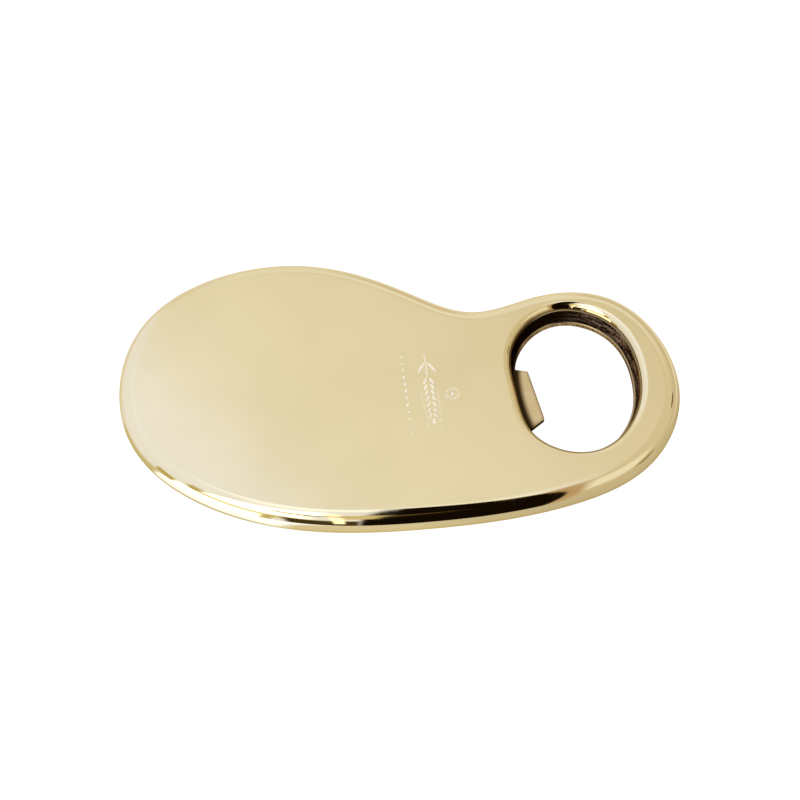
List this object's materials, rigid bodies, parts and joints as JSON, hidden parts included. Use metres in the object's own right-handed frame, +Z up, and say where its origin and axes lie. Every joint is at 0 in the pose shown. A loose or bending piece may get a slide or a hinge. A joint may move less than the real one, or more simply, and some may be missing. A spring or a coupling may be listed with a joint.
{
  "type": "bottle opener",
  "caption": "Pebble-shaped solid brass bottle opener: a palm-filling cast body with a half-round rim, and a stamped lifting ring set in its oval hole.",
  "frame": {"origin": "on the underside, in the middle of the plan's bounding box", "axes": "+X along the longest extent, from the palm end to the hole; +Y towards the side with the waist; +Z up through the thickness"},
  "size_m": [0.1198, 0.065, 0.0062],
  "materials": {
    "polished_brass": "mirror polished cast brass, frosted in the engraved lines, dark as-cast wall inside the hole",
    "stamped_brass": "satin stamped brass sheet"
  },
  "bodies": {
    "root": {"body": "polished_brass", "opener_insert": "stamped_brass"}
  },
  "joints": []
}
